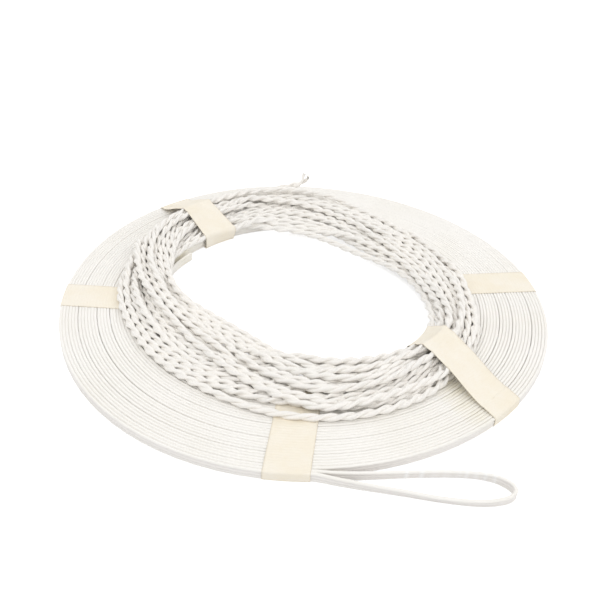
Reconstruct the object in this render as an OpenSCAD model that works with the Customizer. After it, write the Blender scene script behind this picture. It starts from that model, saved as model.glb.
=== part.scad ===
// Two coils of white cord bound together with paper tape: an open flat coil of
// ribbed strip, wound doubled on its edge, and a loose coil of two-ply twisted
// cord lying on it. All sizes are in millimetres. The origin is on the axis of
// the flat coil, in the plane that the part lies on, with +Z up. A bearing is an
// angle about that axis, from +X towards +Y.

/* [Flat cord] */
// Width of the flat cord, which stands on edge
flat_w = 5.6; // [4.5:0.1:7]
// Thickness of the flat cord
flat_t = 1.5; // [1:0.05:2]
// Clearance from one turn of the flat cord to the next
flat_gap = 0.56; // [0.56:0.01:1]
// Radius of the open middle of the flat coil
bore_r = 98; // [80:1:99]
// Innermost turns, under the twisted coil, drawn as one ring
inner_turns = 6; // [3:1:10]
// Turns of the doubled cord outside that ring, two strands in each
double_turns = 12; // [8:1:12]
// How far the outermost turn bulges fore and aft, and draws in at the sides
oval = 1.3; // [0:0.1:1.5]
// How far the outermost turn bulges towards its three corners
corners = 1.4; // [0:0.1:1.5]
// Bearing at which the doubled cord leaves the coil
leave_az = 272; // [268:0.5:274]
// How far the inner end of the flat cord has come away from the innermost turn
peel = 3; // [1:0.5:6]
// Length of that free inner end
free_end = 38; // [20:1:45]

/* [Twisted cord] */
// Diameter of the twisted cord over both plies
twist_d = 4.3; // [3:0.1:5.2]
// Loops of twisted cord in each of its two layers
layer_loops = 8; // [4:1:8]
// Mean radius of the hole through the twisted coil
hole_r = 70; // [58:0.5:75]
// How far that hole is drawn out to an oval
hole_oval = 8; // [0:0.5:9]
// Bearing of the long way across the hole
hole_az = 153; // [120:1:180]
// Mean clearance between neighbouring loops
loop_gap = 2.3; // [2.3:0.05:3]
// How much wider than that the loops lie fore and aft, and closer at the sides
gap_swing = 1.28; // [0:0.02:1.28]
// Bearing at which the loops lie widest apart
gap_az = 76; // [60:1:90]
// How much wider the loops lie at the left than at the right
gap_shift = 0.38; // [0:0.02:0.4]
// Clearance between the two layers
layer_gap = 0.45; // [0.45:0.05:1]
// Bearing at which the twisted cord leaves the back of its coil
tail_az = 98; // [94:0.5:102]

/* [Tape] */
// Width of the paper tape
tape_w = 25; // [15:1:30]
// Thickness of the paper tape
tape_t = 0.2; // [0.1:0.05:0.4]
// Clearance between the tape and the cord that it binds
tape_gap = 0.1; // [0.1:0.05:0.3]
// Bearing of the middle of the tape at the front, and its turn from radial
front_az = 269.5; // [262:0.5:276]
front_skew = -4; // [-10:1:10]
// Bearing and turn of the tape at the left
left_az = 187.4; // [180:0.5:200]
left_skew = -8; // [-12:1:10]
// Bearing and turn of the tape at the right
right_az = 11.8; // [0:0.5:30]
right_skew = -2; // [-10:1:10]
// Bearing and turn of the tape over both coils at the front right
front_right_az = 321; // [305:0.5:340]
front_right_skew = -13; // [-15:1:10]
// Bearing and turn of the tape over both coils at the back left
back_left_az = 134.8; // [120:0.5:150]
back_left_skew = -11; // [-15:1:10]

/* [Hidden] */

flat_white = "#f2f1ec";
twist_white = "#f6f3ec";
tape_cream = "#f7ead0";

rings = 22;                                  // rings in one loop of a coil
strands = 2;                                 // the flat cord is wound doubled
flat_z0 = tape_t + tape_gap;                 // underside of the flat coil
flat_z1 = flat_z0 + flat_w;                  // its upper side
flat_mid_z = flat_z0 + flat_w / 2;
flat_pitch = flat_t + flat_gap;
rest_z = flat_z1 + tape_gap + tape_t;        // upper face of the tape across it
core_r = bore_r + inner_turns * flat_pitch;  // where the doubled turns begin
pair_pitch = strands * flat_pitch;

// Free loop of the flat cord, from the outermost strand round to the one inside
// it: x, y and how far the strip leans outwards, in degrees
bight_route = [
    [22, -165.8, 5], [34, -167.8, 10], [46, -169.6, 16], [58, -171.3, 20],
    [70, -173.3, 24], [82, -174.6, 24], [93, -174.9, 20], [102, -173.8, 14],
    [109, -171.4, 8], [112.8, -167.6, 2], [112.2, -163.2, 0], [108, -159.4, -2],
    [102, -157, -8], [93, -155.8, -14], [82, -155.9, -16], [70, -156.8, -15],
    [58, -158.1, -13], [46, -159.6, -10], [34, -161, -6], [22, -161.8, -2]
];
// Free end of the twisted cord, behind the coil
tail_route = [[-8, 129, 14], [-5, 131, 17], [-4, 134, 20], [-4, 138, 23], [-5, 143, 26]];

function polar(r, az) = [r * cos(az), r * sin(az)];
function unit(v) = v / norm(v);

// Centre radius of a strand of the doubled cord, a number of turns from its start
function lobe(az) = corners * cos(3 * az) - oval * cos(2 * az);
function strand_r(strand, turns) = let (out = turns + strand / strands)
    core_r + flat_pitch / 2 + out * pair_pitch + lobe(leave_az + 360 * turns) * out / double_turns;
// Outer face of the flat coil at a bearing
function turn_share(az) = let (a = (az - leave_az + 720) % 360) (a == 0 ? 360 : a) / 360;
function rim_r(az) = strand_r(strands - 1, double_turns - 1 + turn_share(az)) + flat_t / 2;

// The twisted cord spirals in through its lower layer and out through the upper
twist_r = twist_d / 2;
loops = 2 * layer_loops;
layer_rise = twist_d + layer_gap;
lower_z = rest_z + tape_gap + twist_r;
upper_z = lower_z + layer_rise;
climb = 0.25;                                // turns from the middle of the climb to its ends
function hole_edge(az) = hole_r + hole_oval * cos(2 * (az - hole_az));
function gap_at(az) = loop_gap + gap_swing * cos(2 * (az - gap_az)) - gap_shift * cos(az);
function pile_edge(az) = hole_edge(az) + twist_d + layer_loops * (twist_d + gap_at(az));
pile_r = hole_r + twist_d + layer_loops * (twist_d + loop_gap);
function smooth(x) = let (c = max(0, min(1, x))) c * c * (3 - 2 * c);
function loop_point(turns) = let (
    az = tail_az - 360 * turns,
    out = abs(turns - layer_loops) / layer_loops,
    inner = hole_edge(az) + twist_r,
    outer = pile_edge(az) - twist_r,
    up = smooth((turns - layer_loops + climb) / (2 * climb))
) [each polar(inner + out * (outer - inner), az), lower_z + layer_rise * up];

// Rings of a section, given as outward and upward offsets, square to a route
function heading(pts, i) = unit(pts[min(i + 1, len(pts) - 1)] - pts[max(i - 1, 0)]);
function ring_at(p, dir, section, lean = 0) = let (
    side = unit(cross(dir, [0, 0, 1])),
    up = cross(side, dir)
) [for (s = section) p
    + side * (s.x * cos(lean) + s.y * sin(lean))
    + up * (s.y * cos(lean) - s.x * sin(lean))];
function hexagon(r) = [for (a = [0:60:300]) polar(r, a)];

// Least distance between a line of points and itself, a half turn on or more
function reach(p, a, b) = let (
    ab = b - a,
    t = max(0, min(1, (p - a) * ab / (ab * ab)))
) norm(p - a - t * ab);
function self_reach(pts) = min([
    for (i = [0:len(pts) - 1], k = [i + rings / 2:len(pts) - 2]) reach(pts[i], pts[k], pts[k + 1])
]);
// Least distance from one line of points to another, a number of points on
function reach_to(a, b, on) = min([
    for (i = [0:len(a) - 1], k = [i + on - 2:i + on + 1])
        if (k >= 0 && k < len(b) - 1) reach(a[i], b[k], b[k + 1])
]);

// A solid through rings that have the same number of points each
module skin(rings_of_points) {
    n = len(rings_of_points[0]);
    last = len(rings_of_points) - 1;
    polyhedron(
        points = [for (r = rings_of_points) each r],
        faces = [
            [for (k = [0:n - 1]) k],
            for (i = [0:last - 1], k = [0:n - 1]) let (
                a = i * n + k,
                b = i * n + (k + 1) % n
            ) each [[a, a + n, b], [b, a + n, b + n]],
            [for (k = [n - 1:-1:0]) last * n + k]
        ]
    );
}

// Centre line of a strand of the doubled cord, in plan
function strand_line(strand) = [
    for (i = [0:double_turns * rings]) let (t = i / rings)
        polar(strand_r(strand, t), leave_az + 360 * t)
];

module flat_cord_coil() {
    lines = [strand_line(0), strand_line(1)];
    least = min(reach_to(lines[0], lines[1], 0), reach_to(lines[1], lines[0], rings));
    echo(flat_cord_gap = least - flat_t);
    color(flat_white) translate([0, 0, flat_z0])
        for (line = lines) linear_extrude(flat_w) polygon([
            for (p = line) p + unit(p) * flat_t / 2,
            for (i = [len(line) - 1:-1:0]) line[i] - unit(line[i]) * flat_t / 2
        ]);
}

// The innermost turns share the corners of the turns wound on them
module flat_cord_inner_turns() {
    outer = core_r - flat_pitch / 2 + flat_t / 2;
    color(flat_white) translate([0, 0, flat_z0]) difference() {
        linear_extrude(flat_w)
            polygon([for (i = [0:rings - 1]) polar(outer, leave_az + 360 * i / rings)]);
        translate([0, 0, -1]) cylinder(r = bore_r, h = flat_w + 2, $fn = 180);
    }
}

// Section of the strip, with its edges rounded off
function strip_section() = let (w = flat_w / 2, t = flat_t / 2, corner = 0.45 * t) [
    [t, corner - w], [t, w - corner], [t - corner, w], [corner - t, w],
    [-t, w - corner], [-t, corner - w], [corner - t, -w], [t - corner, -w]
];

module flat_cord_bight() {
    away = [-sin(leave_az), cos(leave_az), 0];
    function stem(strand, far) =
        [each polar(strand_r(strand, double_turns), leave_az), flat_mid_z] + far * away;
    route = [
        stem(1, 0), stem(1, flat_w),
        for (p = bight_route) [p.x, p.y, flat_mid_z],
        stem(0, flat_w), stem(0, 0)
    ];
    leans = [0, 0, for (p = bight_route) p.z, 0, 0];
    last = len(route) - 1;
    color(flat_white) skin([for (i = [0:last]) ring_at(
        route[i],
        i == 0 ? away : i == last ? -away : heading(route, i),
        strip_section(), leans[i]
    )]);
}

module flat_cord_inner_end() {
    from = max(covered(back_left_az, back_left_skew, bore_r)) + asin(flat_w / bore_r);
    to = from + free_end / bore_r * 180 / PI;
    steps = 8;
    mids = [for (i = [0:steps]) let (s = i / steps)
        [bore_r - 3 * tape_gap - flat_t / 2 - peel * pow(1 - s, 2), from + s * (to - from)]];
    color(flat_white) translate([0, 0, flat_z0]) linear_extrude(flat_w) polygon([
        for (m = mids) polar(m[0] + flat_t / 2, m[1]),
        for (i = [steps:-1:0]) polar(mids[i][0] - flat_t / 2, mids[i][1])
    ]);
}

module twisted_cord_coil() {
    line = [for (i = [0:loops * rings]) loop_point(i / rings)];
    echo(twisted_cord_gap = self_reach(line) - twist_d);
    color(twist_white) skin([for (i = [0:len(line) - 1])
        ring_at(line[i], heading(line, i), hexagon(twist_r))]);
}

module twisted_cord_end() {
    start = loop_point(loops);
    away = unit(start - loop_point(loops - 1 / rings));
    route = [start, start + away * twist_d, each tail_route];
    color(twist_white) skin([for (i = [0:len(route) - 1])
        ring_at(route[i], i == 0 ? away : heading(route, i), hexagon(twist_r))]);
}

// Bearings that a band covers at a radius, where it crosses the middle of the
// flat coil at one bearing and is turned from radial by its skew
function band_mid(az) = (bore_r + rim_r(az)) / 2;
function covered(az, skew, r) = let (
    mid = az + skew - asin(band_mid(az) * sin(skew) / r),
    half = asin(tape_w / 2 / r)
) [for (k = [-4:4]) mid + half * k / 4];
// Rim, hole and outside of the pile under the whole width of a band. A loop of
// straight runs comes in past the edge of the hole between its corners.
function rim_under(az, skew) = max([for (a = covered(az, skew, rim_r(az))) rim_r(a)]);
function hole_under(az, skew) =
    min([for (a = covered(az, skew, hole_r)) hole_edge(a)]) * cos(180 / rings);
function pile_under(az, skew) = max([for (a = covered(az, skew, pile_r)) pile_edge(a)]);

// A closed outline drawn in on every side by a distance
function inset(pts, d) = let (n = len(pts)) [for (i = [0:n - 1]) let (
    a = unit(pts[i] - pts[(i + n - 1) % n]),
    b = unit(pts[(i + 1) % n] - pts[i]),
    na = [-a.y, a.x],
    nb = [-b.y, b.x]
) pts[i] + (na + nb) * d / (1 + na * nb)];

// A closed band of tape: its outline in radius and height, carried round the
// axis of the coils and cut to the width of the tape
module band(outline, az, skew) {
    long = 2 * pile_r;
    tall = upper_z + twist_d;
    intersection() {
        rotate([0, 0, az - 40]) rotate_extrude(angle = 80, $fn = 180) difference() {
            polygon(outline);
            polygon(inset(outline, tape_t));
        }
        translate([each polar(band_mid(az), az), -1]) rotate([0, 0, az + skew])
            translate([-long / 2, -tape_w / 2, 0]) cube([long, tape_w, tall]);
    }
}

// Tape round the flat coil alone
module flat_band(az, skew) {
    slack = tape_gap + tape_t;
    r0 = bore_r - slack;
    r1 = rim_under(az, skew) + slack;
    band([[r0, 0], [r1, 0], [r1, rest_z], [r0, rest_z]], az, skew);
}

// Tape round both coils: up and straight over to the outside of the pile, round
// its upper and inner sides and back down to the bore of the flat coil
module full_band(az, skew) {
    slack = tape_gap + tape_t;
    hug = twist_r + slack;
    r1 = rim_under(az, skew) + slack;
    out_c = [pile_under(az, skew) - twist_r, upper_z];
    in_r = hole_under(az, skew) + twist_r;
    down = out_c - [r1, rest_z];
    leave = atan2(down.y, down.x) - 90 + asin(hug / norm(down));
    function round_by(c, a0, a1) = [for (k = [0:3]) c + polar(hug, a0 + (a1 - a0) * k / 3)];
    band([
        [bore_r - slack, 0], [r1, 0], [r1, rest_z],
        each round_by(out_c, leave, 90),
        each round_by([in_r, upper_z], 90, 180),
        each round_by([in_r, lower_z], 180, 240)
    ], az, skew);
}

module tape_front() { color(tape_cream) flat_band(front_az, front_skew); }
module tape_left() { color(tape_cream) flat_band(left_az, left_skew); }
module tape_right() { color(tape_cream) flat_band(right_az, right_skew); }
module tape_front_right() { color(tape_cream) full_band(front_right_az, front_right_skew); }
module tape_back_left() { color(tape_cream) full_band(back_left_az, back_left_skew); }

flat_cord_inner_turns();
flat_cord_coil();
flat_cord_bight();
flat_cord_inner_end();
twisted_cord_coil();
twisted_cord_end();
tape_front();
tape_left();
tape_right();
tape_front_right();
tape_back_left();
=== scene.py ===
"""Two coils of white cord bound together with paper tape, in metres.

An open flat coil of ribbed strip lies on the floor, wound doubled on its edge, and the fold of the
doubled cord is left as a free loop at the front right. A coil of two-ply twisted cord is piled on
it. Three bands of paper tape bind the flat coil alone and two bind both coils. The origin is on the
axis of the flat coil, at the floor. A bearing is an angle about that axis, from +X towards +Y.
"""
import logging
from dataclasses import dataclass
from enum import Enum
from typing import ClassVar

import bpy
import numpy as np
from mathutils import Matrix, Vector


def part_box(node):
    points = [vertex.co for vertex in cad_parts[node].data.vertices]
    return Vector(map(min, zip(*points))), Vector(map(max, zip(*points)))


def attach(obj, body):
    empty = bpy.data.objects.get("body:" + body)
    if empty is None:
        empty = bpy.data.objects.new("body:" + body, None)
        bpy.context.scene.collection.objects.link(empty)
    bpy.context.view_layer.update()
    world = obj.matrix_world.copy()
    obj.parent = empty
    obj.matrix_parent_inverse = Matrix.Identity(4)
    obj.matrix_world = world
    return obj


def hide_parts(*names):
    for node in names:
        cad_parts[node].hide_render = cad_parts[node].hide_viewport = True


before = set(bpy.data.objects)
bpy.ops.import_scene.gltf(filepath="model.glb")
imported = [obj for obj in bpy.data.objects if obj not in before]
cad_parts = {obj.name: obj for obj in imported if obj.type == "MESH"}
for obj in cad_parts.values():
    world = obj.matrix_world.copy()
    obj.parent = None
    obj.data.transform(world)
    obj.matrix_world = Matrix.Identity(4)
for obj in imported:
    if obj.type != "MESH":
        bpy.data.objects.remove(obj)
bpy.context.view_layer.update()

log = logging.getLogger("cord_coils")

MM = 0.001
TAU = 2 * np.pi
BODY = "root"


class Lay(Enum):
    """How a cord lies."""

    COILED = "coiled"


class CordEnd(Enum):
    """What the far end of a cord carries."""

    CUT = "bare"


class Stiffness(Enum):
    """How well a cord keeps its shape."""

    MEDIUM = "medium"
    LIMP = "limp"


class Layer(Enum):
    """The two halves of the twisted cord, as they were wound."""

    FIRST = 0
    SECOND = 1


# ---------------------------------------------------------------- plain geometry


def polar(radius: np.ndarray, bearing: np.ndarray) -> np.ndarray:
    """Return the points at some radii and bearings.

    Args:
        radius: distances from the axis.
        bearing: angles about the axis, in degrees.

    Returns:
        An array whose last axis holds x and y.
    """
    turn = np.radians(bearing)
    return np.stack([radius * np.cos(turn), radius * np.sin(turn)], axis=-1)


def ease(value: np.ndarray) -> np.ndarray:
    """Return a value from 0 to 1 with its ends eased off."""
    held = np.clip(value, 0.0, 1.0)
    return held * held * (3 - 2 * held)


def read_round(knots: dict[float, float], bearing: np.ndarray, blur: int = 18) -> np.ndarray:
    """Read a closed row of values, eased from one bearing to the next.

    Args:
        knots: values at their bearings, in rising order.
        bearing: where to read them, in degrees.
        blur: how far each value is eased to both sides, in degrees.

    Returns:
        One value for each bearing.
    """
    degrees = np.arange(360.0)
    row = np.interp(degrees, list(knots), list(knots.values()), period=360.0)
    weight = 1 + np.cos(np.pi * np.arange(-blur, blur + 1) / (blur + 1))
    eased = np.convolve(np.concatenate([row[-blur:], row, row[:blur]]), weight / weight.sum(), "valid")
    return np.interp(bearing, degrees, eased, period=360.0)


def measured(points: np.ndarray) -> np.ndarray:
    """Return how far along a line of points each of them lies."""
    steps = np.linalg.norm(np.diff(points, axis=0), axis=1)
    return np.concatenate([[0.0], np.cumsum(steps)])


def hull_of(points: np.ndarray) -> np.ndarray:
    """Return the convex outline of points in a plane, anticlockwise.

    Args:
        points: rows of two numbers.

    Returns:
        The outline's corners in order, the first one not repeated.
    """
    ordered = sorted(map(tuple, points))

    def half(row: list[tuple[float, float]]) -> list[tuple[float, float]]:
        """Return the lower outline of points.

        Args:
            row: the points, in rising order.

        Returns:
            The outline's corners, without the last one.
        """
        kept: list[tuple[float, float]] = []
        for p in row:
            while len(kept) > 1:
                a, b = kept[-2], kept[-1]
                if (b[0] - a[0]) * (p[1] - a[1]) - (b[1] - a[1]) * (p[0] - a[0]) > 0:
                    break
                kept.pop()
            kept.append(p)
        return kept[:-1]

    return np.array(half(ordered) + half(ordered[::-1]))


def link(name: str, data: bpy.types.ID) -> bpy.types.Object:
    """Add an object to the scene.

    Args:
        name: the object's name.
        data: its mesh, camera or lamp.

    Returns:
        The new object.
    """
    made = bpy.data.objects.new(name, data)
    bpy.context.scene.collection.objects.link(made)
    return made


def carry(mesh: bpy.types.Mesh, **rows: np.ndarray) -> None:
    """Store one number for each point of a mesh.

    Args:
        mesh: the mesh that carries the numbers.
        rows: the numbers, each row under its name.
    """
    for name, row in rows.items():
        made = mesh.attributes.new(name, "FLOAT", "POINT")
        made.data.foreach_set("value", np.asarray(row, dtype=np.float32).ravel())


def line_object(name: str, points: np.ndarray, **rows: np.ndarray) -> bpy.types.Object:
    """Return an object that is one open line of points.

    Args:
        name: the object's name.
        points: the points of the line, in order.
        rows: numbers to store for each point.

    Returns:
        A mesh object of edges only.
    """
    mesh = bpy.data.meshes.new(name)
    mesh.from_pydata(points.tolist(), [(i, i + 1) for i in range(len(points) - 1)], [])
    carry(mesh, **rows)
    return link(name, mesh)


# ---------------------------------------------------------------- node graphs


class Term:
    """A node's output in a sum: arithmetic on it adds Math nodes."""

    def __init__(self, graph: "Graph", socket: bpy.types.NodeSocket) -> None:
        """Hold a socket of a graph."""
        self.graph = graph
        self.socket = socket

    def _math(self, operation: str, *terms: "Term | float") -> "Term":
        """Return the result of a Math node on some terms."""
        return self.graph.node("ShaderNodeMath", {"operation": operation}, dict(enumerate(terms)))[0]

    def __add__(self, other: "Term | float") -> "Term":
        """Return self + other."""
        return self._math("ADD", self, other)

    def __sub__(self, other: "Term | float") -> "Term":
        """Return self - other."""
        return self._math("SUBTRACT", self, other)

    def __rsub__(self, other: "Term | float") -> "Term":
        """Return other - self."""
        return self._math("SUBTRACT", other, self)

    def __mul__(self, other: "Term | float") -> "Term":
        """Return self * other."""
        return self._math("MULTIPLY", self, other)

    def __truediv__(self, other: "Term | float") -> "Term":
        """Return self / other."""
        return self._math("DIVIDE", self, other)

    def __rtruediv__(self, other: "Term | float") -> "Term":
        """Return other / self."""
        return self._math("DIVIDE", other, self)

    def __pow__(self, other: "Term | float") -> "Term":
        """Return self to a power."""
        return self._math("POWER", self, other)

    def __abs__(self) -> "Term":
        """Return the size of self."""
        return self._math("ABSOLUTE", self)

    __radd__ = __add__
    __rmul__ = __mul__

    def sin(self) -> "Term":
        """Return the sine of self."""
        return self._math("SINE", self)

    def cos(self) -> "Term":
        """Return the cosine of self."""
        return self._math("COSINE", self)

    def ramp(self, low: float, high: float) -> "Term":
        """Return self as a share of the way from low to high, held at 0 and 1."""
        return self.graph.node(
            "ShaderNodeMapRange", {"interpolation_type": "SMOOTHSTEP"},
            {"Value": self, "From Min": low, "From Max": high},
        )[0]


class Made:
    """A node that a graph has made, read by the names of its outputs."""

    def __init__(self, graph: "Graph", node: bpy.types.Node) -> None:
        """Hold a node of a graph."""
        self.graph = graph
        self.node = node

    def __getitem__(self, key: str | int) -> Term:
        """Return an output by its name, identifier or place."""
        return Term(self.graph, Graph.pick(self.node.outputs, key))


class Graph:
    """A node tree that is written as calls and sums."""

    def __init__(self, tree: bpy.types.NodeTree) -> None:
        """Hold a node tree."""
        self.tree = tree

    @staticmethod
    def pick(sockets: bpy.types.bpy_prop_collection, key: str | int) -> bpy.types.NodeSocket:
        """Find a socket.

        Args:
            sockets: a node's inputs or outputs.
            key: the socket's place, identifier or name.

        Returns:
            The first socket that the key fits.
        """
        if isinstance(key, int):
            return sockets[key]
        for socket in sockets:
            if socket.identifier == key:
                return socket
        return next(socket for socket in sockets if socket.enabled and socket.name == key)

    def node(self, kind: str, settings: dict | None = None, inputs: dict | None = None) -> Made:
        """Add a node.

        Args:
            kind: the node's type.
            settings: its properties, which are set first.
            inputs: numbers, colours or terms for its inputs.

        Returns:
            The node, read by its outputs' names.
        """
        made = self.tree.nodes.new(kind)
        for name, value in (settings or {}).items():
            setattr(made, name, value)
        for key, value in (inputs or {}).items():
            socket = self.pick(made.inputs, key)
            if isinstance(value, Term):
                self.tree.links.new(value.socket, socket)
            else:
                socket.default_value = value
        return Made(self, made)

    def join(self, term: Term, node: Made, key: str) -> None:
        """Link one more term to an input that takes many."""
        self.tree.links.new(term.socket, node.node.inputs[key])


class SweepTree(Graph):
    """A geometry tree that turns one line into a dressed surface."""

    def __init__(self, name: str, sizes: dict[str, float]) -> None:
        """Start a tree with a named input for each of its sizes.

        Args:
            name: the tree's name.
            sizes: the value of each size, by its name.
        """
        super().__init__(bpy.data.node_groups.new(name, "GeometryNodeTree"))
        self.sizes = sizes
        sockets = self.tree.interface
        sockets.new_socket("Line", in_out="INPUT", socket_type="NodeSocketGeometry")
        for label in sizes:
            sockets.new_socket(label, in_out="INPUT", socket_type="NodeSocketFloat")
        sockets.new_socket("Surface", in_out="OUTPUT", socket_type="NodeSocketGeometry")
        self.given = self.node("NodeGroupInput")

    def upright(self, line: Term) -> Term:
        """Return a curve whose normals lie level, to the right of its way."""
        return self.node("GeometryNodeSetCurveNormal", {"mode": "Z_UP"}, {"Curve": line})[0]

    def store(self, geometry: Term, name: str, value: Term) -> Term:
        """Make geometry carry a number for each point.

        Args:
            geometry: a curve or a mesh.
            name: the number's name.
            value: the number.

        Returns:
            The geometry that carries it.
        """
        return self.node(
            "GeometryNodeStoreNamedAttribute", {"data_type": "FLOAT", "domain": "POINT"},
            {"Geometry": geometry, "Name": name, "Value": value},
        )[0]

    def vector(self, x: Term | float, y: Term | float, z: Term | float = 0.0) -> Term:
        """Return a vector of three terms."""
        return self.node("ShaderNodeCombineXYZ", inputs={"X": x, "Y": y, "Z": z})[0]

    def close(self, surface: Term, material: bpy.types.Material) -> None:
        """End the tree in a smooth surface of one material.

        Args:
            surface: what the tree has made.
            material: what it is made of.
        """
        real = self.node("GeometryNodeRealizeInstances", inputs={"Geometry": surface})[0]
        shaded = self.node("GeometryNodeSetShadeSmooth", inputs={"Geometry": real})[0]
        dressed = self.node(
            "GeometryNodeSetMaterial", inputs={"Geometry": shaded, "Material": material})[0]
        self.node("NodeGroupOutput", inputs={"Surface": dressed})

    def run(self, host: bpy.types.Object) -> bpy.types.Object:
        """Sweep the line of an object and leave the surface in its place.

        Args:
            host: an object that is one line of points.

        Returns:
            The same object, now with a plain mesh.
        """
        modifier = host.modifiers.new(self.tree.name, "NODES")
        modifier.node_group = self.tree
        for item in self.tree.interface.items_tree:
            if item.item_type == "SOCKET" and item.name in self.sizes:
                modifier[item.identifier] = self.sizes[item.name]
        seen = host.evaluated_get(bpy.context.evaluated_depsgraph_get())
        mesh = bpy.data.meshes.new_from_object(seen)
        host.modifiers.clear()
        line, host.data = host.data, mesh
        bpy.data.meshes.remove(line)
        return host


# ---------------------------------------------------------------- finishes


@dataclass(frozen=True)
class Rise:
    """A number that rises with a share, from its least by its gain."""

    least: float
    gain: float

    def at(self, share: Term) -> Term:
        """Return the number at a share from 0 to 1."""
        return self.least + self.gain * share


class Finish:
    """A material that is written as a graph of shader nodes."""

    name: str = "finish"

    def make(self) -> bpy.types.Material:
        """Return the finished material."""
        material = bpy.data.materials.new(self.name)
        material.use_nodes = True
        material.node_tree.nodes.clear()
        graph = Graph(material.node_tree)
        graph.node("ShaderNodeOutputMaterial", inputs={"Surface": self.surface(graph)})
        return material

    def surface(self, graph: Graph) -> Term:
        """Return the shader that covers the piece."""
        raise NotImplementedError

    @staticmethod
    def row(graph: Graph, name: str) -> Term:
        """Return a number that the piece carries for each point."""
        return graph.node("ShaderNodeAttribute", {"attribute_name": name})["Fac"]

    @staticmethod
    def spot(graph: Graph, scale: float, detail: float = 3.0, place: Term | None = None) -> Term:
        """Return cloudy noise.

        Args:
            graph: the material's graph.
            scale: the lumps to a metre, or to a unit of the place.
            detail: how many finer noises are laid over the first.
            place: where to read it, or None for the piece's own metres.

        Returns:
            A number from 0 to 1.
        """
        where = place or graph.node("ShaderNodeTexCoord")["Object"]
        return graph.node(
            "ShaderNodeTexNoise", inputs={"Vector": where, "Scale": scale, "Detail": detail})[0]

    @staticmethod
    def mix(graph: Graph, share: Term, low: Term | tuple, high: Term | tuple) -> Term:
        """Return a colour between two.

        Args:
            graph: the material's graph.
            share: 0 for the first colour and 1 for the second.
            low: the first colour.
            high: the second colour.

        Returns:
            The mixed colour.
        """
        return graph.node(
            "ShaderNodeMix", {"data_type": "RGBA"},
            {"Factor_Float": share, "A_Color": low, "B_Color": high},
        )["Result_Color"]

    @staticmethod
    def bump(graph: Graph, height: Term, depth: float) -> Term:
        """Return a normal that is raised by a height from 0 to 1, over a depth in metres."""
        return graph.node("ShaderNodeBump", inputs={"Height": height, "Distance": depth})[0]


@dataclass(frozen=True)
class StripFinish(Finish):
    """Smooth white plastic, with dust and painted shade between its turns and painted shade on its open
    flanks.
    """

    name: str = "white_ribbed_plastic"
    clean: tuple = (0.935, 0.912, 0.873, 1.0)
    aged: tuple = (0.908, 0.882, 0.83, 1.0)
    dusty_gap_shade: tuple = (0.87, 0.835, 0.77, 1.0)
    stained: tuple = (0.87, 0.82, 0.68, 1.0)
    flank_shade_colour: tuple = (0.83, 0.80, 0.775, 1.0)
    crease_highlight: tuple = (0.97, 0.965, 0.955, 1.0)
    cloud_scale: float = 22.0
    cloud_edge: tuple = (0.35, 0.75)
    patch_stretch: tuple = (9.0, 0.6)
    flank_edge: tuple = (0.62, 0.9)
    flank_shade_share: Rise = Rise(0.58, 0.32)
    groove_place: float = 1 / 3
    groove_edge: tuple = (0.03, 0.16)
    dust_and_gap_shade: Rise = Rise(0.1, 0.6)
    dust_and_gap_shade_edge: tuple = (0.35, 0.65)
    crease_highlight_share: float = 0.9
    shade_by_tape: Rise = Rise(0.45, 0.55)
    shade_by_tape_edge: tuple = (0.3, 0.7)
    grain_scale: float = 900.0
    grain_share: float = 0.015
    roughness: Rise = Rise(0.42, 0.12)
    shine: float = 0.35
    relief: float = 0.25 * MM

    def surface(self, graph: Graph) -> Term:
        """Return the plastic, with painted shade down the flanks and beside the tapes, dust in patches
        and painted highlights on creases.
        """
        across = abs(self.row(graph, "across"))
        along = self.row(graph, "along")
        shade = self.row(graph, "shade")
        lengthways, sideways = self.patch_stretch
        drawn = graph.node(
            "ShaderNodeCombineXYZ", inputs={"X": along * lengthways, "Y": across * sideways})[0]
        patch = self.spot(graph, 1.0, detail=4.0, place=drawn)
        cloud = self.spot(graph, self.cloud_scale, detail=4.0)
        # Painted shade: the open flanks of the outermost strand and the free loop are darkened, most in
        # the grooves down them
        flank = 1.0 - across.ramp(*self.flank_edge)
        channel = 1.0 - abs(across - self.groove_place).ramp(*self.groove_edge)
        colour = self.mix(graph, cloud.ramp(*self.cloud_edge), self.clean, self.aged)
        flank_shade = (1.0 - shade) * flank * self.flank_shade_share.at(channel)
        side = self.mix(graph, flank_shade, colour, self.flank_shade_colour)
        # Dust and painted shade on the flanks between the buried turns, in drawn-out patches
        dust_and_gap_shade = flank * shade * self.dust_and_gap_shade.at(patch.ramp(*self.dust_and_gap_shade_edge))
        dusted_and_shaded = self.mix(graph, dust_and_gap_shade, side, self.dusty_gap_shade)
        # Painted highlight: the creases on the inside of the free loop's bend are lightened
        crease = self.row(graph, "crease")
        crease_highlight = self.mix(graph, crease * self.crease_highlight_share, dusted_and_shaded, self.crease_highlight)
        # Painted shade, warm from light through the tape, on the strips beside the tapes, in drawn-out
        # patches
        shade_by_tape = self.row(graph, "stain") * self.shade_by_tape.at(patch.ramp(*self.shade_by_tape_edge))
        tinted = self.mix(graph, shade_by_tape, crease_highlight, self.stained)
        grain = self.spot(graph, self.grain_scale, detail=2.0)
        height = grain * self.grain_share + crease * (1.0 - self.grain_share)
        return graph.node("ShaderNodeBsdfPrincipled", inputs={
            "Base Color": tinted,
            "Roughness": self.roughness.at(cloud),
            "Specular IOR Level": self.shine,
            "Normal": self.bump(graph, height, self.relief),
        })[0]


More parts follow.
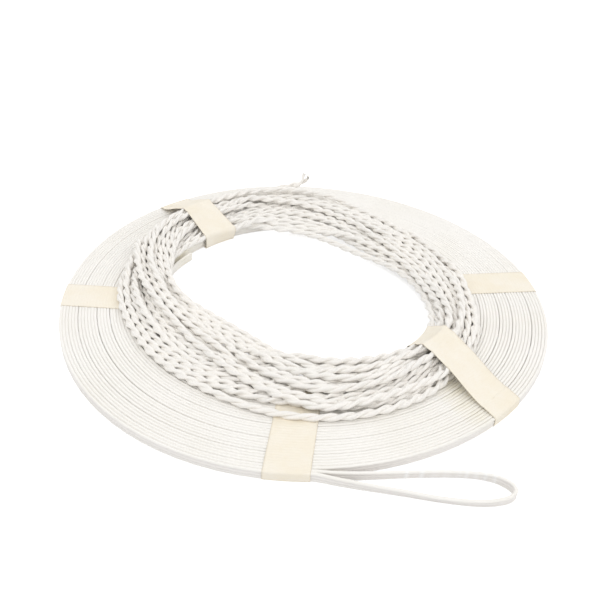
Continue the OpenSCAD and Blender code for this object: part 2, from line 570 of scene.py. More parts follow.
@dataclass(frozen=True)
class YarnFinish(Finish):
    """Soft white yarn, spun round each ply."""

    name: str = "white_spun_yarn"
    clean: tuple = (0.965, 0.935, 0.89, 1.0)
    cool: tuple = (0.95, 0.925, 0.885, 1.0)
    trough_shade_and_fleck: tuple = (0.62, 0.57, 0.50, 1.0)
    pitch: float = 1.9 * MM
    starts: float = 3.0
    fluff_scale: float = 1400.0
    cloud_scale: float = 38.0
    cloud_edge: tuple = (0.3, 0.7)
    trough_shade_share: float = 0.05
    fluff_tint: float = 0.04
    ridge_relief: float = 0.6
    roughness: Rise = Rise(0.62, 0.2)
    shine: float = 0.3
    sheen: float = 0.15
    relief: float = 0.10 * MM

    def surface(self, graph: Graph) -> Term:
        """Return the yarn, with fine spun ridges, painted shade between them and a soft rough surface.
        """
        along = self.row(graph, "along")
        around = self.row(graph, "around")
        ridge = 0.5 + 0.5 * (TAU * (along / self.pitch + self.starts * around)).sin()
        fluff = self.spot(graph, self.fluff_scale)
        cloud = self.spot(graph, self.cloud_scale)
        tint = self.mix(graph, cloud.ramp(*self.cloud_edge), self.clean, self.cool)
        # Painted shade in the troughs between the spun ridges, and random darker flecks
        shaded_troughs_and_flecks = (1.0 - ridge) * self.trough_shade_share + fluff * self.fluff_tint
        spun = self.mix(graph, shaded_troughs_and_flecks, tint, self.trough_shade_and_fleck)
        return graph.node("ShaderNodeBsdfPrincipled", inputs={
            "Base Color": spun,
            "Roughness": self.roughness.at(fluff),
            "Specular IOR Level": self.shine,
            "Sheen Weight": self.sheen,
            "Normal": self.bump(
                graph, ridge * self.ridge_relief + fluff * (1.0 - self.ridge_relief), self.relief),
        })[0]


@dataclass(frozen=True)
class CrepeFinish(Finish):
    """Cream creped paper, with fine wrinkles square to its length."""

    name: str = "cream_creped_paper"
    cream: tuple = (0.91, 0.84, 0.705, 1.0)
    pale: tuple = (0.93, 0.875, 0.77, 1.0)
    edge: tuple = (0.86, 0.765, 0.60, 1.0)
    wrinkle_scale: float = 1.25
    wrinkle_stretch: float = 3.2
    wrinkle_edge: tuple = (0.45, 0.7)
    wrinkle_shade_share: float = 0.22
    wrinkle_relief: float = 0.8
    fibre_scale: float = 1100.0
    cloud_scale: float = 60.0
    cloud_edge: tuple = (0.3, 0.7)
    rim_start: float = 0.93
    rim_tint: float = 0.35
    roughness: Rise = Rise(0.74, 0.12)
    shine: float = 0.25
    relief: float = 0.16 * MM

    def surface(self, graph: Graph) -> Term:
        """Return the paper, matt, with crepe wrinkles, painted shade in them and deeper edges."""
        along = self.row(graph, "along")
        across = self.row(graph, "across")
        laid = graph.node(
            "ShaderNodeCombineXYZ", inputs={"X": along / MM, "Y": across * self.wrinkle_stretch})[0]
        wrinkle = self.spot(graph, self.wrinkle_scale, detail=4.0, place=laid)
        fibre = self.spot(graph, self.fibre_scale)
        cloud = self.spot(graph, self.cloud_scale)
        paper = self.mix(graph, cloud.ramp(*self.cloud_edge), self.cream, self.pale)
        # Painted shade in the crepe wrinkles, in the edge colour
        wrinkle_shade = wrinkle.ramp(*self.wrinkle_edge) * self.wrinkle_shade_share
        wrinkle_shaded = self.mix(graph, wrinkle_shade, paper, self.edge)
        rim = abs(across).ramp(self.rim_start, 1.0)
        return graph.node("ShaderNodeBsdfPrincipled", inputs={
            "Base Color": self.mix(graph, rim * self.rim_tint, wrinkle_shaded, self.edge),
            "Roughness": self.roughness.at(fibre),
            "Specular IOR Level": self.shine,
            "Normal": self.bump(
                graph, wrinkle * self.wrinkle_relief + fibre * (1.0 - self.wrinkle_relief),
                self.relief),
        })[0]


@dataclass(frozen=True)
class FloorFinish(Finish):
    """A white floor that the camera sees as white, with the shadow on it."""

    name: str = "white_sweep"
    colour: tuple = (0.86, 0.86, 0.86, 1.0)
    lift: float = 0.55

    def surface(self, graph: Graph) -> Term:
        """Return the floor, lifted to white for what looks at it directly."""
        path = graph.node("ShaderNodeLightPath")
        seen = path["Is Camera Ray"] + path["Is Glossy Ray"] + path["Is Transmission Ray"]
        white = graph.node("ShaderNodeEmission", inputs={"Strength": self.lift * seen})[0]
        matt = graph.node("ShaderNodeBsdfDiffuse", inputs={"Color": self.colour})[0]
        return graph.node("ShaderNodeAddShader", inputs={0: matt, 1: white})[0]


# ---------------------------------------------------------------- the flat coil


@dataclass(frozen=True)
class FlatCoil:
    """Ribbed strip on its edge, wound doubled from its open middle outwards.

    The free loop is given as rows of x, y in mm and the strip's lean in
    degrees, its creases as rows of x, y in mm, and each patch of painted warm
    shade beside a tape as the two ends of a line in mm. Looser gaps are given
    as strands from the open middle.
    """

    finish: StripFinish
    underside: float
    top: float
    width: float = 5.6 * MM
    thickness: float = 2.0 * MM
    pitch: float = 2.012 * MM
    bore: float = 98 * MM
    loose_gaps: tuple = (4.4, 9.3, 14.6, 19.2, 24.5)
    loose_gap: float = 0.28 * MM
    gap_opens: float = 0.3
    inner_pairs: int = 3
    outer_pairs: int = 12
    oval: float = 1.3 * MM
    corners: float = 1.4 * MM
    leave_bearing: float = 272
    leave_reach: float = 5
    end_bearing: float = 151.5
    peel: float = 2 * MM
    free_end: float = 38 * MM
    end_lag: float = 0.2
    drift: float = 0.022 * MM
    unevenness: float = 0.10 * MM
    settled_turns: float = 0.25
    rib: float = 0.36
    rib_edge: tuple = (0.62, 0.78)
    squareness: float = 10.0
    rings: int = 90
    sides: int = 30
    loop_steps: int = 6
    bight: tuple = (
        (22, -165.8, 5), (34, -167.8, 10), (46, -169.6, 16), (58, -171.3, 20), (70, -173.3, 24),
        (82, -174.6, 24), (93, -174.9, 20), (102, -173.8, 14), (109, -171.4, 8), (112.8, -167.6, 2),
        (112.2, -163.2, 0), (108, -159.4, -2), (102, -157, -8), (93, -155.8, -14), (82, -155.9, -16),
        (70, -156.8, -15), (58, -158.1, -13), (46, -159.6, -10), (34, -161, -6), (22, -161.8, -2),
    )
    creases: tuple = (
        (58, -158.1), (66, -157.2), (73, -156.6), (79, -156), (85, -155.8), (89, -155.7),
        (94, -155.9), (99, -156.5), (104, -157.8),
    )
    crease_reach: float = 0.9 * MM
    # Lines beside the tapes along which warm shade is painted, in mm
    stains: tuple = (((86, -84), (103, -110)), ((-95, 62), (-93, 40)))
    stain_reach: float = 7.5 * MM

    def radius(self, strand: int, turns: np.ndarray) -> np.ndarray:
        """Return the centre radius of a strand.

        Args:
            strand: 0 for the inner one of the pair and 1 for the outer one.
            turns: turns from where the outer pairs begin.

        Returns:
            One radius for each number of turns.
        """
        out = turns + strand / 2
        bearing = np.radians(self.leave_bearing + 360 * turns)
        lobe = self.corners * np.cos(3 * bearing) - self.oval * np.cos(2 * bearing)
        count = 2 * (self.inner_pairs + out)
        opened = sum(ease((count - at) / self.gap_opens) for at in self.loose_gaps) * self.loose_gap
        radius = self.bore + (count + 0.5) * self.pitch + opened
        return radius + lobe * np.maximum(out, 0) / self.outer_pairs

    def rim(self, bearing: np.ndarray) -> np.ndarray:
        """Return the outer radius of the coil.

        Args:
            bearing: where to read it, in degrees.

        Returns:
            The radius there, also of the strands that leave the coil there.
        """
        past = self.leave_bearing + self.leave_reach
        share = (np.mod(np.asarray(bearing) - past, 360) + self.leave_reach) / 360
        return self.radius(1, self.outer_pairs - 1 + share) + self.thickness / 2

    def strand(self, which: int, first: float) -> np.ndarray:
        """Return the line of a strand, from its inner end to where it leaves.

        Args:
            which: 0 for the inner one of the pair and 1 for the outer one.
            first: turns at which the line begins, which is less than 0.

        Returns:
            Rows of x, y and height.
        """
        grid = np.arange(np.floor(first * self.rings) + 1, self.outer_pairs * self.rings + 1)
        turns = np.concatenate([[first], grid / self.rings])
        # Waves that no turn repeats, which fade out where the strand leaves the coil
        leave = ease((self.outer_pairs - turns) / self.settled_turns)
        sway = np.sin(2.3 * turns + 1.7 * which) + 0.7 * np.sin(5.1 * turns + 0.6 + which)
        radius = self.radius(which, turns) + self.drift * sway * leave
        bob = np.sin(np.round(turns) * 2.4 + which * 1.3 + 3 * turns)
        rise = self.unevenness * bob * leave
        middle = (self.underside + self.top) / 2
        return np.column_stack([polar(radius, self.leave_bearing + 360 * turns), middle + rise])

    def route(self) -> tuple[np.ndarray, np.ndarray]:
        """Return the whole centre line of the cord and how far it leans.

        Returns:
            Rows of x, y and height from one inner end to the other, and the
            lean of the strip at each in radians.
        """
        first = -self.inner_pairs - 1 + (self.end_bearing - self.leave_bearing + 360) / 360
        outward = self.strand(1, first + self.end_lag)
        inward = self.strand(0, first)[::-1]
        away = measured(inward)[-1] - measured(inward)
        loose = np.clip(1 - away / self.free_end, 0, 1) ** 2
        bearing = inward[:, :2] / np.linalg.norm(inward[:, :2], axis=1)[:, None]
        inward[:, :2] -= bearing * (loose * self.peel)[:, None]
        middle = (self.underside + self.top) / 2
        corners = np.array([(x * MM, y * MM, middle, np.radians(lean)) for x, y, lean in self.bight])
        heading = polar(np.array(self.width), np.array(self.leave_bearing + 90))
        stems = [np.append(end[:2] + heading, [middle, 0.0]) for end in (outward[-1], inward[0])]
        knots = np.vstack([
            np.append(outward[-1], 0.0), stems[0], corners, stems[1], np.append(inward[0], 0.0),
        ])
        free = self.through(knots, self.loop_steps)[1:-1]
        line = np.vstack([outward, free[:, :3], inward])
        leans = np.concatenate([np.zeros(len(outward)), free[:, 3], np.zeros(len(inward))])
        return line, leans

    @staticmethod
    def through(knots: np.ndarray, steps: int) -> np.ndarray:
        """Return a smooth row of points through some knots.

        Args:
            knots: the points to pass through, one in each row.
            steps: how many points to make for each knot.

        Returns:
            The smooth row, whose first and last points are the knots' own.
        """
        ends = np.vstack([2 * knots[0] - knots[1], knots, 2 * knots[-1] - knots[-2]])
        share = np.linspace(0, 1, steps, endpoint=False)[:, None]
        rows = []
        for a, b, c, d in zip(ends[:-3], ends[1:-2], ends[2:-1], ends[3:]):
            rows.append(0.5 * (
                2 * b + (c - a) * share + (2 * a - 5 * b + 4 * c - d) * share**2
                + (3 * b - a - 3 * c + d) * share**3
            ))
        return np.vstack([*rows, knots[-1:]])

    def folds(self, line: np.ndarray) -> np.ndarray:
        """Return how deep the strip is creased.

        Args:
            line: the strip's centre line.

        Returns:
            A depth from 0 to 1 for each point.
        """
        depth = np.zeros(len(line))
        for x, y in self.creases:
            far = np.linalg.norm(line[:, :2] - np.array([x, y]) * MM, axis=1)
            depth = np.maximum(depth, np.exp(-((far / self.crease_reach) ** 2)))
        return depth

    def shade_by_tape(self, line: np.ndarray) -> np.ndarray:
        """Return how deep the painted warm shade beside the tapes lies on the strip.

        Args:
            line: the strip's centre line.

        Returns:
            A depth from 0 to 1 for each point.
        """
        depth = np.zeros(len(line))
        for ends in self.stains:
            first, last = np.array(ends) * MM
            way = last - first
            share = np.clip((line[:, :2] - first) @ way / (way @ way), 0, 1)[:, None]
            far = np.linalg.norm(line[:, :2] - first - share * way, axis=1)
            depth = np.maximum(depth, np.exp(-((far / self.stain_reach) ** 2)))
        return depth

    def sweep(self, material: bpy.types.Material) -> SweepTree:
        """Write the tree that sweeps the ribbed section along a line.

        Args:
            material: what the strip is made of.

        Returns:
            The tree, whose section is a square-shouldered oval with two
            grooves down each flank.
        """
        tree = SweepTree("ribbed_strip", {
            "Width": self.width, "Thickness": self.thickness, "Rib depth": self.rib,
        })
        given = tree.given
        line = tree.node("GeometryNodeMeshToCurve", inputs={"Mesh": given["Line"]})[0]
        lean = tree.node("GeometryNodeInputNamedAttribute", {"data_type": "FLOAT"}, {"Name": "lean"})[0]
        tilted = tree.node(
            "GeometryNodeSetCurveTilt", inputs={"Curve": tree.upright(line), "Tilt": lean})[0]
        marked = tree.store(tilted, "along", tree.node("GeometryNodeSplineParameter")["Length"])

        circle = tree.node("GeometryNodeCurvePrimitiveCircle", inputs={"Resolution": self.sides})[0]
        # More points on the flanks, which are ribbed, than on the edges
        even = (tree.node("GeometryNodeInputIndex")[0] + 0.5) * (TAU / self.sides)
        angle = even - 0.25 * (2.0 * even).sin()
        power = self.squareness
        reach = (abs(angle.cos()) ** power + abs(angle.sin()) ** power) ** (-1 / power)
        across = angle.sin() * reach
        ribs = given["Rib depth"] * (1.0 - (3 * np.pi * across).cos()) * 0.5
        groove = ribs * (1.0 - abs(across).ramp(*self.rib_edge))
        side = angle.cos() * reach * given["Thickness"] * 0.5 * (1.0 - groove)
        section = tree.node("GeometryNodeSetPosition", inputs={
            "Geometry": tree.store(circle, "across", across),
            "Position": tree.vector(side, across * given["Width"] * 0.5),
        })[0]
        swept = tree.node("GeometryNodeCurveToMesh", inputs={
            "Curve": marked, "Profile Curve": section, "Fill Caps": True,
        })[0]
        tree.close(swept, material)
        return tree

    def build(self) -> bpy.types.Object:
        """Returns:
            The cord, from its inner end round the free loop and back.
        """
        line, leans = self.route()
        # The outermost strand and the free loop show their flanks, which get painted flank shade; the
        # buried strands get dust and painted gap shade
        bearing = np.degrees(np.arctan2(line[:, 1], line[:, 0]))
        outermost = self.rim(bearing) - 1.5 * self.thickness
        buried = np.linalg.norm(line[:, :2], axis=1) < outermost
        host = line_object(
            "flat_cord", line, lean=leans, crease=self.folds(line), shade=buried, stain=self.shade_by_tape(line))
        cord = self.sweep(self.finish.make()).run(host)
        length = float(measured(line)[-1])
        line[0]
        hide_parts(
            "flat_cord_inner_turns", "flat_cord_coil", "flat_cord_bight", "flat_cord_inner_end")
        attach(cord, BODY)
        log.info("flat_cord: %.2f m, %d faces", length, len(cord.data.polygons))
        return cord


# ---------------------------------------------------------------- the twisted coil


@dataclass(frozen=True)
class Settling:
    """How the loops are let down into a pile, round by round.

    In each round a loop is drawn a share of the way to its lane, falls a
    little, is smoothed, and is pressed away from its neighbours. Over the open
    middle it may sag by a share of how far in it lies. The waves, in turns,
    make it wander by a share of the pile's width.
    """

    rounds: int = 420
    presses: int = 2
    draw: float = 0.03
    fall: float = 0.10 * MM
    smooth: float = 0.24
    push: float = 0.28
    first_rise: float = 1.1 * MM
    sag: float = 0.06
    sag_limit: float = 40 * MM
    seed: int = 11
    waves: tuple = (0.31, 0.57, 1.13, 2.21, 3.37)
    wander: float = 0.045
    spill: float = 0.02
    layer_change: float = 0.5


@dataclass(frozen=True)
class TwistedCoil:
    """Two-ply cord, in loops that lie where they fell on the flat coil.

    The free end is given as rows of x, y and height in mm.
    """

    finish: YarnFinish
    flat: FlatCoil
    diameter: float = 4.5 * MM
    ply_height: float = 2.3 * MM
    ply_width: float = 3.05 * MM
    spread: float = 1.12 * MM
    lay: float = 21 * MM
    layer_loops: int = 8
    stations: int = 144
    clearance: float = 0.3 * MM
    tail_bearing: float = 98
    lay_drift: float = 2.4
    lay_waves: float = 17.0
    splay: float = 1.1
    splayed: float = 7 * MM
    step: float = 2.2 * MM
    sides: int = 10
    end_blend: int = 20
    end_steps: int = 8
    tail: tuple = (
        (-19, 138.5, 17.5), (-13, 139.5, 18.3), (-8.5, 141, 20.3), (-6, 142.2, 23.2), (-5, 143, 26.3),
    )
    settling: Settling = Settling()

    # Edges of the pile, in mm, by their bearings
    hole: ClassVar[dict[float, float]] = {
        0: 77, 30: 68, 60: 59, 85: 63, 100: 70, 112: 80, 122: 90, 135: 97, 155: 98, 172: 92,
        190: 78, 210: 60, 240: 54, 270: 65, 300: 77, 325: 88, 340: 91, 350: 84,
    }
    outside: ClassVar[dict[float, float]] = {
        0: 112, 30: 112, 60: 120, 85: 137, 105: 144, 125: 143, 145: 137, 165: 130, 180: 127,
        210: 121, 240: 123, 270: 130, 300: 127, 330: 118,
    }
    # Shares of the way across the pile between which each layer's loops lie
    near: ClassVar[dict[Layer, dict[float, float]]] = {
        Layer.FIRST: {60: 0.0, 145: 0.0, 175: 0.4, 240: 0.4, 275: 0.0, 350: 0.0},
        Layer.SECOND: {60: 0.35, 90: 0.6, 108: 0.62, 125: 0.42, 145: 0.28, 160: 0.2, 172: 0.0,
                       240: 0.0, 275: 0.1, 305: 0.1, 325: 0.3, 338: 0.3, 355: 0.05},
    }
    far: ClassVar[dict[Layer, dict[float, float]]] = {
        Layer.FIRST: {60: 0.8, 100: 1.0, 125: 1.0, 145: 0.95, 170: 1.0, 275: 1.0, 350: 1.0},
        Layer.SECOND: {60: 1.0, 145: 1.0, 160: 0.95, 175: 0.6, 200: 0.5, 240: 0.6, 275: 0.9,
                       350: 1.0},
    }
    # How loosely the loops are stacked, as a share of their thickness
    loose: ClassVar[dict[float, float]] = {
        0: 0.0, 65: 0.0, 85: 0.3, 100: 0.5, 120: 0.35, 135: 0.2, 150: 0.25, 165: 0.15, 190: 0.05,
        220: 0.0,
    }
    # How the loops crowd towards the outside, as a power of their place
    crowd: ClassVar[dict[float, float]] = {
        0: 1.0, 60: 1.0, 85: 0.75, 130: 0.75, 155: 1.0, 220: 1.0,
    }

    def lane(self, turns: np.ndarray, bearing: np.ndarray, second: np.ndarray) -> np.ndarray:
        """Return where each point of the cord would lie across the pile.

        Args:
            turns: turns from the first end.
            bearing: the points' bearings, in degrees.
            second: 0 in the first layer and 1 in the second.

        Returns:
            Shares of the way from the pile's inner edge to its outer one.
        """
        lanes = []
        for layer in Layer:
            low = read_round(self.near[layer], bearing)
            high = read_round(self.far[layer], bearing)
            out = np.clip(np.abs(turns - self.layer_loops) / self.layer_loops, 0, 1)
            lanes.append(low + out ** read_round(self.crowd, bearing) * (high - low))
        share = lanes[0] + second * (lanes[1] - lanes[0])
        dice = np.random.default_rng(self.settling.seed)
        for waves in self.settling.waves:
            size = dice.uniform(0.3, 1) * self.settling.wander / waves**0.5
            share += size * np.sin(TAU * (waves * turns + dice.uniform()))
        return np.clip(share, -self.settling.spill, 1 + self.settling.spill)

    def settle(self) -> np.ndarray:
        """Let the loops fall into a pile.

        Each loop is drawn to its lane across the pile and downwards, kept
        smooth along its way, and pressed away from the loops beside it. Some
        overlap is left, and it is deepest where loops of one layer change
        places.

        Returns:
            Rows of x, y and height, from the first end to the last loop's end.
        """
        way = self.settling
        loops = 2 * self.layer_loops
        turns = np.arange(loops * self.stations + 1) / self.stations
        bearing = self.tail_bearing - 360 * turns
        second = ease((turns - self.layer_loops) / way.layer_change + 0.5)
        inner = read_round(self.hole, bearing) * MM + self.diameter / 2
        outer = read_round(self.outside, bearing) * MM - self.diameter / 2
        goal = inner + self.lane(turns, bearing, second) * (outer - inner)
        lift = 1 + read_round(self.loose, bearing)

        radius = goal.copy()
        rest = self.flat.top + self.clearance + self.diameter / 2
        height = rest + turns * way.first_rise + second * self.diameter
        crossing = (loops, self.stations)
        for _ in range(way.rounds):
            radius += way.draw * (goal - radius)
            height -= way.fall
            for row in (radius, height):
                row[1:-1] += way.smooth * (row[:-2] + row[2:] - 2 * row[1:-1])
            for _ in range(way.presses):
                r = radius[:-1].reshape(crossing)
                z = height[:-1].reshape(crossing)
                stretch = lift[:-1].reshape(crossing)
                dr = r[:, None] - r[None]
                dz = (z[:, None] - z[None]) / stretch
                apart = np.hypot(dr, dz) + 1e-9
                push = way.push * np.clip(self.diameter - apart, 0, None) / apart
                push[np.arange(loops), np.arange(loops)] = 0
                r += (dr * push).sum(axis=1)
                z += (dz * push).sum(axis=1) * stretch
            height[-1] = height[-2]
            radius[-1] = radius[-2]
            over_bore = np.clip(self.flat.bore - radius, 0, way.sag_limit)
            height = np.maximum(height, rest - way.sag * over_bore)
        return np.column_stack([polar(radius, bearing), height])

    def route(self) -> np.ndarray:
        """Return the whole centre line, from the covered end to the free one."""
        loops = self.settle()
        halfway = -self.end_blend // 2
        start = loops[:-self.end_blend]
        knots = np.vstack([start[-2:], loops[halfway:halfway + 1], np.array(self.tail) * MM])
        free = FlatCoil.through(knots, self.end_steps)[self.end_steps:]
        return np.vstack([start, free[1:]])

    def sweep(self, material: bpy.types.Material) -> SweepTree:
        """Write the tree that lays two plies round each other along a line.

        Args:
            material: what the plies are made of.

        Returns:
            The tree, which opens the plies a little at the line's far end.
        """
        tree = SweepTree("two_ply", {
            "Ply height": self.ply_height, "Ply width": self.ply_width, "Spread": self.spread,
            "Lay": self.lay, "Step": self.step, "Splay": self.splay, "Splayed": self.splayed,
        })
        given = tree.given
        line = tree.node("GeometryNodeMeshToCurve", inputs={"Mesh": given["Line"]})[0]
        even = tree.node(
            "GeometryNodeResampleCurve", {"mode": "LENGTH"},
            {"Curve": line, "Length": given["Step"]})[0]
        way = tree.upright(even)
        along = tree.node("GeometryNodeSplineParameter")["Length"]
        whole = tree.node("GeometryNodeSplineLength")["Length"]
        left = whole - along
        ahead = tree.node("GeometryNodeInputTangent")[0]
        side = tree.node("GeometryNodeInputNormal")[0]
        over = tree.node(
            "ShaderNodeVectorMath", {"operation": "CROSS_PRODUCT"}, {0: ahead, 1: side})[0]
        wander = tree.node(
            "ShaderNodeTexNoise", {"noise_dimensions": "1D"},
            {"W": along * self.lay_waves, "Scale": 1.0})[0]
        splay = 1.0 + given["Splay"] * (1.0 - left / given["Splayed"]).ramp(0.0, 1.0)
        circle = tree.node("GeometryNodeCurvePrimitiveCircle", inputs={"Resolution": self.sides})[0]
        share = tree.node("GeometryNodeInputIndex")[0] / float(self.sides)
        angle = share * TAU
        section = tree.node("GeometryNodeSetPosition", inputs={
            "Geometry": tree.store(circle, "around", share),
            "Position": tree.vector(
                angle.cos() * given["Ply height"] * 0.5, angle.sin() * given["Ply width"] * 0.5),
        })[0]
        plies = tree.node("GeometryNodeJoinGeometry")
        for start in (0.0, np.pi):
            turn = start + wander * self.lay_drift - along / given["Lay"] * TAU
            reach = given["Spread"] * splay
            moves = [
                tree.node("ShaderNodeVectorMath", {"operation": "SCALE"}, {0: axis, "Scale": far})[0]
                for axis, far in ((side, turn.cos() * reach), (over, turn.sin() * reach))
            ]
            move = tree.node("ShaderNodeVectorMath", {"operation": "ADD"}, dict(enumerate(moves)))[0]
            moved = tree.node("GeometryNodeSetPosition", inputs={"Geometry": way, "Offset": move})[0]
            turned = tree.node("GeometryNodeSetCurveTilt", inputs={"Curve": moved, "Tilt": turn})[0]
            marked = tree.store(turned, "along", along)
            tube = tree.node("GeometryNodeCurveToMesh", inputs={
                "Curve": marked, "Profile Curve": section, "Fill Caps": True,
            })[0]
            tree.join(tube, plies, "Geometry")
        tree.close(plies[0], material)
        return tree

    def build(self) -> tuple[bpy.types.Object, np.ndarray]:
        """Returns:
            The cord, and its centre line for what binds it.
        """
        line = self.route()
        cord = self.sweep(self.finish.make()).run(line_object("twisted_cord", line))
        length = float(measured(line)[-1])
        line[0]
        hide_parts("twisted_cord_coil", "twisted_cord_end")
        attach(cord, BODY)
        log.info("twisted_cord: %.2f m, %d faces", length, len(cord.data.polygons))
        return cord, line


# ---------------------------------------------------------------- the tapes


@dataclass(frozen=True)
class TapeBand:
    """Where one band of tape goes round the coils.

    The bearing is that of its middle, and the skew how far it is turned from
    there, both in degrees.
    """

    name: str
    bearing: float
    skew: float
    over_pile: bool = False


@dataclass(frozen=True)
class Tapes:
    """Bands of creped paper, drawn tight round what they bind.

    A band sinks a little between the strands of strip. Beyond the pile it sags
    by a share of its height over the strip, and over the pile it is tucked
    into the gaps between the cords by a share of their depth.
    """

    finish: CrepeFinish
    flat: FlatCoil
    pile: TwistedCoil
    width: float = 25 * MM
    thickness: float = 0.18 * MM
    slack: float = 0.08 * MM
    fillet: float = 0.5 * MM
    over_plies: float = 0.5 * MM
    beside_axis: float = 80 * MM
    over_strip: float = 0.12 * MM
    seat_depth: float = 0.10 * MM
    seat_from: float = 0.1 * MM
    seat_to: float = 0.5 * MM
    sag: float = 0.45
    sag_from: float = 0.2 * MM
    sag_reach: float = 30 * MM
    tuck: float = 0.45
    tuck_from: float = 1.5 * MM
    tuck_limit: float = 0.5 * MM
    arc_points: int = 16
    columns: int = 27
    rows: int = 300
    smoothings: int = 4
    bands: tuple = (
        TapeBand("tape_front", 269.5, -4.0),
        TapeBand("tape_left", 187.4, -8.0),
        TapeBand("tape_right", 11.8, -2.0),
        TapeBand("tape_front_right", 321.0, -13.0, over_pile=True),
        TapeBand("tape_back_left", 132.6, -1.5, over_pile=True),
    )

    def edges(self, foot: np.ndarray, ahead: np.ndarray) -> tuple[float, float]:
        """Return how far along a level line the flat coil begins and ends.

        Args:
            foot: a point of the line in plan, between the two edges.
            ahead: the line's direction, away from the axis.

        Returns:
            The distances from the foot to the open middle and to the rim.
        """
        def crossing(radius: float) -> float:
            """Return the distance along the line to a circle round the axis."""
            along = float(foot @ ahead)
            return -along + float(np.sqrt(radius**2 - foot @ foot + along**2))

        # The rim is not quite round, so its radius is read again where it is met
        rim = float(np.linalg.norm(foot))
        for _ in range(3):
            at = foot + ahead * (crossing(rim) if rim > np.linalg.norm(foot) else 0.0)
            rim = float(self.flat.rim(np.degrees(np.arctan2(at[1], at[0]))))
        return crossing(self.flat.bore), crossing(rim)

    def column(self, band: TapeBand, aside: float, line: np.ndarray) -> np.ndarray:
        """Return one closed run of tape round the coils.

        Args:
            band: the band that the run belongs to.
            aside: the run's distance from the middle of the tape.
            line: the twisted cord's centre line.

        Returns:
            Rows of x, y, height and length along the run.
        """
        middle = (self.flat.bore + float(self.flat.rim(band.bearing))) / 2
        ahead = polar(np.array(1.0), np.array(band.bearing + band.skew))
        across = np.array([-ahead[1], ahead[0]])
        foot = polar(np.array(middle), np.array(band.bearing)) + across * aside
        near, far = self.edges(foot, ahead)
        strip_top = self.flat.top + self.over_strip
        discs = [
            self.disc(s + turn * self.fillet, z, self.fillet + self.slack)
            for s, turn in ((near, 1), (far, -1))
            for z in (self.flat.underside + self.fillet, strip_top - self.fillet)
        ]
        cords = np.empty((0, 2))
        if band.over_pile:
            cords = self.crossed(line, foot, ahead, across)
            reach = self.pile.diameter / 2 + self.over_plies
            discs += [self.disc(s, z, reach) for s, z in cords]
        corners = hull_of(np.vstack(discs))
        corners[:, 1] = np.maximum(corners[:, 1], self.slack + self.thickness)
        # The run begins low down at the rim, so that all runs begin in line
        start = np.argmax(corners[:, 0] - 4 * corners[:, 1])
        loop = np.roll(corners, -start, axis=0)
        loop = np.vstack([loop, loop[:1]])
        way = measured(loop)
        even = np.linspace(0, way[-1], self.rows, endpoint=False)
        run = np.column_stack([np.interp(even, way, loop[:, k]) for k in (0, 1)])
        run = self.press(run, foot, ahead, cords)
        plan = foot + run[:, :1] * ahead
        return np.column_stack([plan, run[:, 1], even])

    def disc(self, far: float, height: float, radius: float) -> np.ndarray:
        """Return points round a disc that the tape is drawn over.

        Args:
            far: how far along the run its middle is.
            height: the height of its middle.
            radius: its radius.

        Returns:
            Rows of distance and height.
        """
        arc = np.linspace(0, TAU, self.arc_points, endpoint=False)
        return np.column_stack([far + radius * np.cos(arc), height + radius * np.sin(arc)])

    def crossed(self, line: np.ndarray, foot: np.ndarray, ahead: np.ndarray,
                across: np.ndarray) -> np.ndarray:
        """Return where a line of cord crosses an upright plane.

        Args:
            line: the cord's centre line.
            foot: a point of the plane, in plan.
            ahead: the plane's level direction.
            across: the direction square to the plane.

        Returns:
            Rows of distance from the foot and height.
        """
        aside = (line[:, :2] - foot) @ across
        hits = np.nonzero(np.sign(aside[:-1]) != np.sign(aside[1:]))[0]
        share = (aside[hits] / (aside[hits] - aside[hits + 1]))[:, None]
        points = line[hits] + share * (line[hits + 1] - line[hits])
        far = (points[:, :2] - foot) @ ahead
        beside = np.abs(far) < self.beside_axis
        return np.column_stack([far, points[:, 2]])[beside]

    def press(self, run: np.ndarray, foot: np.ndarray, ahead: np.ndarray,
              cords: np.ndarray) -> np.ndarray:
        """Press a tight run of tape into the gaps that it bridges.

        Args:
            run: rows of distance from the foot and height.
            foot: a point of the run's plane, in plan.
            ahead: the plane's level direction.
            cords: where the twisted cord crosses the plane.

        Returns:
            The pressed run.
        """
        step = np.roll(run, -1, axis=0) - np.roll(run, 1, axis=0)
        inward = np.column_stack([-step[:, 1], step[:, 0]])
        inward /= np.linalg.norm(inward, axis=1)[:, None] + 1e-12
        plan = foot + run[:, :1] * ahead
        radius = np.linalg.norm(plan, axis=1)
        bearing = np.degrees(np.arctan2(plan[:, 1], plan[:, 0]))
        phase = (self.flat.rim(bearing) - self.flat.thickness / 2 - radius) / self.flat.pitch
        above = run[:, 1] - self.flat.top
        on_strips = ease((above + self.seat_from) / self.seat_from) * (above < self.seat_to)
        depth = self.seat_depth * (0.5 - 0.5 * np.cos(TAU * phase)) * on_strips
        if len(cords):
            outermost = cords[:, 0].max() + self.pile.diameter / 2
            beyond = ease((run[:, 0] - outermost) / self.sag_reach)
            drop = self.sag * np.clip(above - self.sag_from, 0, None) * beyond
            run = run - np.column_stack([np.zeros(len(run)), drop])
            gap = np.hypot(run[:, :1] - cords[:, 0], run[:, 1:] - cords[:, 1]).min(axis=1)
            free = np.clip(gap - self.pile.diameter / 2 - self.slack, 0, None)
            over = run[:, 1] > self.flat.top + self.tuck_from
            depth = np.where(over, np.minimum(self.tuck * free, self.tuck_limit), depth)
        return run + inward * depth[:, None]

